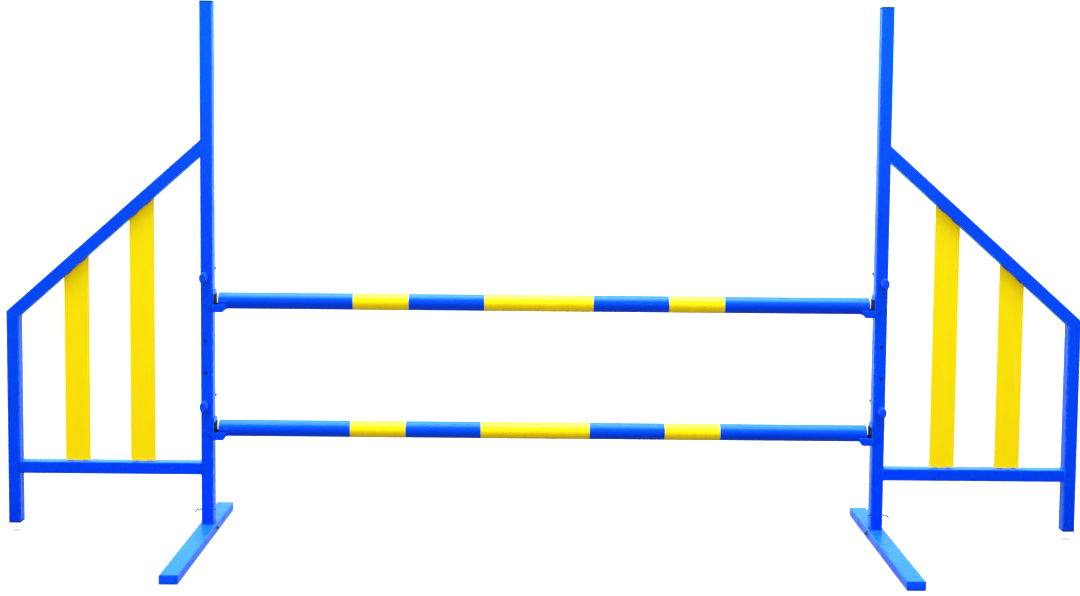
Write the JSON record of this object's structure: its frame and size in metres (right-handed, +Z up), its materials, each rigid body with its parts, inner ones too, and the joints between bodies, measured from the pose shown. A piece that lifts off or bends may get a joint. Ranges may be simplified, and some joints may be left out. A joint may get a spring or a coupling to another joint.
{
  "type": "agility hurdle",
  "caption": "Free-standing dog agility hurdle: two square-tube wings with slatted side panels, each on a cross foot, and two banded round bars resting in slotted cups on the uprights.",
  "frame": {"origin": "on the ground, midway between the wings and midway along the feet", "axes": "+X along the bars, from the left wing to the right wing; -Y towards the long ends of the feet, the front; +Z up"},
  "size_m": [2.456, 0.54, 1.22],
  "materials": {
    "blue_powder_coat": "semi-gloss powder coat on steel tube and sheet",
    "blue_plastic": "moulded, satin to semi-gloss",
    "blue_pipe": "smooth glossy pipe",
    "yellow_paint": "satin paint on flat steel strip",
    "yellow_tape": "glossy vinyl tape",
    "black_plastic": "fine-grained matt moulding",
    "zinc": "bright zinc plate",
    "dark_steel": "blackened steel"
  },
  "bodies": {
    "left_wing": {"left_upright": "blue_powder_coat", "left_upright_cap": "black_plastic", "left_leg": "blue_powder_coat", "left_leg_cap": "black_plastic", "left_sloped_rail": "blue_powder_coat", "left_bottom_rail": "blue_powder_coat", "left_inner_slat": "yellow_paint", "left_outer_slat": "yellow_paint", "left_foot": "blue_powder_coat", "left_foot_front_plug": "blue_plastic", "left_foot_rear_plug": "blue_plastic", "left_spigot": "zinc", "left_foot_bolt": "dark_steel", "left_foot_nut": "dark_steel"},
    "right_wing": {"right_upright": "blue_powder_coat", "right_upright_cap": "black_plastic", "right_leg": "blue_powder_coat", "right_leg_cap": "black_plastic", "right_sloped_rail": "blue_powder_coat", "right_bottom_rail": "blue_powder_coat", "right_inner_slat": "yellow_paint", "right_outer_slat": "yellow_paint", "right_foot": "blue_powder_coat", "right_foot_front_plug": "blue_plastic", "right_foot_rear_plug": "blue_plastic", "right_spigot": "zinc", "right_foot_bolt": "dark_steel", "right_foot_nut": "dark_steel"},
    "left_lower_cup": {"left_lower_cup": "blue_powder_coat"},
    "left_lower_knob": {"left_lower_knob": "blue_plastic", "left_lower_bolt": "zinc"},
    "left_lower_wing_nut": {"left_lower_wing_nut": "dark_steel"},
    "right_lower_cup": {"right_lower_cup": "blue_powder_coat"},
    "right_lower_knob": {"right_lower_knob": "blue_plastic", "right_lower_bolt": "zinc"},
    "right_lower_wing_nut": {"right_lower_wing_nut": "dark_steel"},
    "lower_bar": {"lower_bar": "blue_pipe", "lower_bar_left_band": "yellow_tape", "lower_bar_middle_band": "yellow_tape", "lower_bar_right_band": "yellow_tape", "lower_bar_left_plug": "blue_plastic", "lower_bar_right_plug": "blue_plastic"},
    "left_upper_cup": {"left_upper_cup": "blue_powder_coat"},
    "left_upper_knob": {"left_upper_knob": "blue_plastic", "left_upper_bolt": "zinc"},
    "left_upper_wing_nut": {"left_upper_wing_nut": "dark_steel"},
    "right_upper_cup": {"right_upper_cup": "blue_powder_coat"},
    "right_upper_knob": {"right_upper_knob": "blue_plastic", "right_upper_bolt": "zinc"},
    "right_upper_wing_nut": {"right_upper_wing_nut": "dark_steel"},
    "upper_bar": {"upper_bar": "blue_pipe", "upper_bar_left_band": "yellow_tape", "upper_bar_middle_band": "yellow_tape", "upper_bar_right_band": "yellow_tape", "upper_bar_left_plug": "blue_plastic", "upper_bar_right_plug": "blue_plastic"},
    "left_lock_pin": {"left_lock_pin": "zinc"},
    "right_lock_pin": {"right_lock_pin": "zinc"}
  },
  "joints": [
    {"name": "right_wing_spacing", "type": "slide", "parent": "left_wing", "child": "right_wing", "axis": [1, 0, 0], "range_m": [-0.007, 0.01]},
    {"name": "left_lower_cup_height", "type": "slide", "parent": "left_wing", "child": "left_lower_cup", "axis": [0, 0, 1], "range_m": [0, 0.036]},
    {"name": "left_lower_knob_turn", "type": "hinge", "parent": "left_wing", "child": "left_lower_knob", "pos_m": [-0.7735, 0.0965, 0.298], "axis": [0, 1, 0], "continuous": true},
    {"name": "left_lower_wing_nut_turn", "type": "hinge", "parent": "left_wing", "child": "left_lower_wing_nut", "pos_m": [-0.7735, 0.0965, 0.298], "axis": [0, 1, 0], "continuous": true},
    {"name": "right_lower_cup_height", "type": "slide", "parent": "right_wing", "child": "right_lower_cup", "axis": [0, 0, 1], "range_m": [0, 0.036]},
    {"name": "right_lower_knob_turn", "type": "hinge", "parent": "right_wing", "child": "right_lower_knob", "pos_m": [0.7735, 0.0965, 0.298], "axis": [0, 1, 0], "continuous": true},
    {"name": "right_lower_wing_nut_turn", "type": "hinge", "parent": "right_wing", "child": "right_lower_wing_nut", "pos_m": [0.7735, 0.0965, 0.298], "axis": [0, 1, 0], "continuous": true},
    {"name": "lower_bar_lift", "type": "slide", "parent": "left_lower_cup", "child": "lower_bar", "axis": [0, 0, 1], "range_m": [0, 0.12]},
    {"name": "left_upper_cup_height", "type": "slide", "parent": "left_wing", "child": "left_upper_cup", "axis": [0, 0, 1], "range_m": [0, 0.036]},
    {"name": "left_upper_knob_turn", "type": "hinge", "parent": "left_wing", "child": "left_upper_knob", "pos_m": [-0.7735, 0.0965, 0.5932], "axis": [0, 1, 0], "continuous": true},
    {"name": "left_upper_wing_nut_turn", "type": "hinge", "parent": "left_wing", "child": "left_upper_wing_nut", "pos_m": [-0.7735, 0.0965, 0.5932], "axis": [0, 1, 0], "continuous": true},
    {"name": "right_upper_cup_height", "type": "slide", "parent": "right_wing", "child": "right_upper_cup", "axis": [0, 0, 1], "range_m": [0, 0.036]},
    {"name": "right_upper_knob_turn", "type": "hinge", "parent": "right_wing", "child": "right_upper_knob", "pos_m": [0.7735, 0.0965, 0.5932], "axis": [0, 1, 0], "continuous": true},
    {"name": "right_upper_wing_nut_turn", "type": "hinge", "parent": "right_wing", "child": "right_upper_wing_nut", "pos_m": [0.7735, 0.0965, 0.5932], "axis": [0, 1, 0], "continuous": true},
    {"name": "upper_bar_lift", "type": "slide", "parent": "left_upper_cup", "child": "upper_bar", "axis": [0, 0, 1], "range_m": [0, 0.12]},
    {"name": "left_lock_pin_pull", "type": "slide", "parent": "left_wing", "child": "left_lock_pin", "axis": [-1, 0, 0], "range_m": [0, 0.035]},
    {"name": "right_lock_pin_pull", "type": "slide", "parent": "right_wing", "child": "right_lock_pin", "axis": [1, 0, 0], "range_m": [0, 0.035]}
  ],
  "couplings": [
    {"joint": "right_lower_cup_height", "follows": "left_lower_cup_height", "ratio": 1},
    {"joint": "right_upper_cup_height", "follows": "left_upper_cup_height", "ratio": 1}
  ]
}
